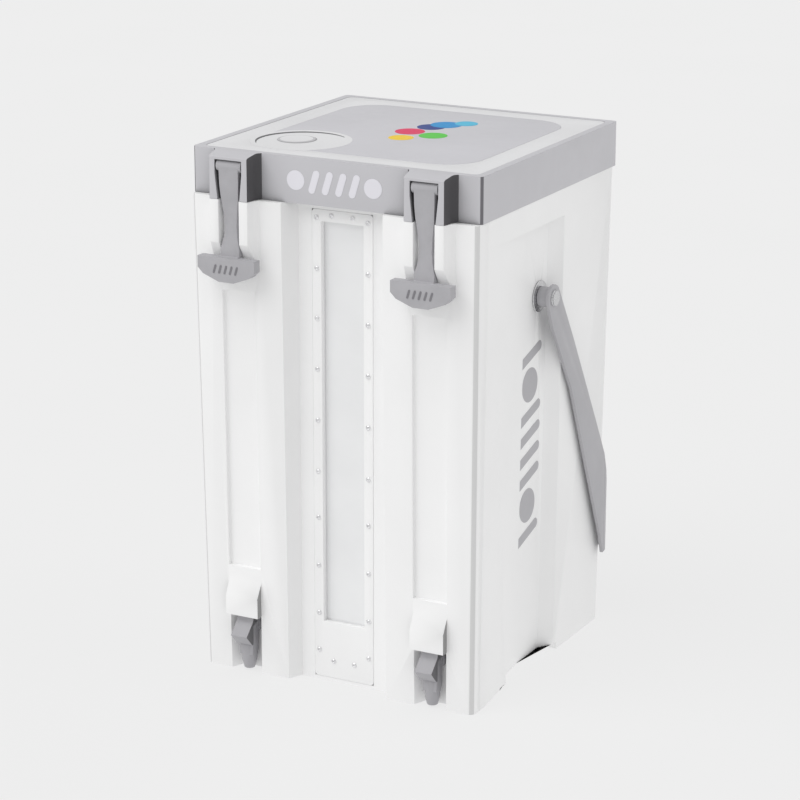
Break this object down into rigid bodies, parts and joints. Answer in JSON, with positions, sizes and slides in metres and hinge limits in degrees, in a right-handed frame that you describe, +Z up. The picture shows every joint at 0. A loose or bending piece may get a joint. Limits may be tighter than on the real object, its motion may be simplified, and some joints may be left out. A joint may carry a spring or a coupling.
{
  "type": "wheeled drinks cooler",
  "caption": "Tall square insulated drinks cooler with a hinged lid, rubber T-handle latches, front sight window, two taps, a bail pull handle and rear wheels.",
  "frame": {"origin": "on the floor, under the centre of the whole box", "axes": "+Z up; the latches, window and taps face -Y; the wheels and the handle are at +Y; X runs across, left to right seen from the front"},
  "size_m": [0.3896, 0.4144, 0.64],
  "materials": {
    "shell_white": "matte",
    "liner_white": "satin",
    "foam": "matte",
    "lid_grey": "matte",
    "latch_grey": "matte",
    "tap_grey": "satin",
    "black_rubber": "matte",
    "seal_grey": "matte",
    "window_clear": "satin",
    "steel": "satin",
    "wheel_grey": "satin"
  },
  "bodies": {
    "base": {"outer_shell": "shell_white", "front_column_left": "shell_white", "front_column_right": "shell_white", "foam_core": "foam", "inner_liner": "liner_white", "window_frame": "shell_white", "window_lens": "window_clear", "window_gasket": "seal_grey", "axle": "steel", "hinge_rod": "steel", "tap_valve_left": "tap_grey", "tap_nut_left": "tap_grey", "tap_washer_left": "seal_grey", "tap_pin_left": "steel", "pivot_plate_left": "steel", "pivot_spacer_left": "lid_grey", "pivot_bolt_left": "steel", "foot_pad_left": "black_rubber", "tap_valve_right": "tap_grey", "tap_nut_right": "tap_grey", "tap_washer_right": "seal_grey", "tap_pin_right": "steel", "pivot_plate_right": "steel", "pivot_spacer_right": "lid_grey", "pivot_bolt_right": "steel", "foot_pad_right": "black_rubber"},
    "lid": {"lid_shell": "lid_grey", "lid_band": "shell_white", "lid_field": "lid_grey", "lid_liner": "liner_white", "lid_seal": "seal_grey", "lid_foam": "foam", "latch_pin_left": "steel", "latch_pin_right": "steel"},
    "handle": {"pull_yoke": "lid_grey", "pull_arm_left": "lid_grey", "pull_arm_right": "lid_grey", "handle_grip": "latch_grey"},
    "latch_left": {"latch_left": "latch_grey"},
    "tap_lever_left": {"tap_lever_left": "tap_grey"},
    "wheel_left": {"wheel_tyre_left": "black_rubber", "wheel_hub_left": "wheel_grey"},
    "latch_right": {"latch_right": "latch_grey"},
    "tap_lever_right": {"tap_lever_right": "tap_grey"},
    "wheel_right": {"wheel_tyre_right": "black_rubber", "wheel_hub_right": "wheel_grey"}
  },
  "joints": [
    {"name": "lid_hinge", "type": "hinge", "parent": "base", "child": "lid", "pos_m": [0, 0.20075, 0.586], "axis": [-1, 0, 0], "range_deg": [0, 95]},
    {"name": "handle_swing", "type": "hinge", "parent": "base", "child": "handle", "pos_m": [0, 0.00775, 0.462], "axis": [1, 0, 0], "range_deg": [0, 150]},
    {"name": "latch_left_swing", "type": "hinge", "parent": "lid", "child": "latch_left", "pos_m": [-0.126, -0.19245, 0.625], "axis": [-1, 0, 0], "range_deg": [0, 90]},
    {"name": "latch_right_swing", "type": "hinge", "parent": "lid", "child": "latch_right", "pos_m": [0.126, -0.19245, 0.625], "axis": [-1, 0, 0], "range_deg": [0, 90]},
    {"name": "tap_left_lever", "type": "hinge", "parent": "base", "child": "tap_lever_left", "pos_m": [-0.1245, -0.17125, 0.068], "axis": [-1, 0, 0], "range_deg": [0, 20], "stiffness_Nm_per_rad": 0.05},
    {"name": "tap_right_lever", "type": "hinge", "parent": "base", "child": "tap_lever_right", "pos_m": [0.1245, -0.17125, 0.068], "axis": [-1, 0, 0], "range_deg": [0, 20], "stiffness_Nm_per_rad": 0.05},
    {"name": "wheel_left_spin", "type": "hinge", "parent": "base", "child": "wheel_left", "pos_m": [-0.132, 0.14075, 0.04], "axis": [1, 0, 0], "continuous": true},
    {"name": "wheel_right_spin", "type": "hinge", "parent": "base", "child": "wheel_right", "pos_m": [0.132, 0.14075, 0.04], "axis": [1, 0, 0], "continuous": true}
  ]
}
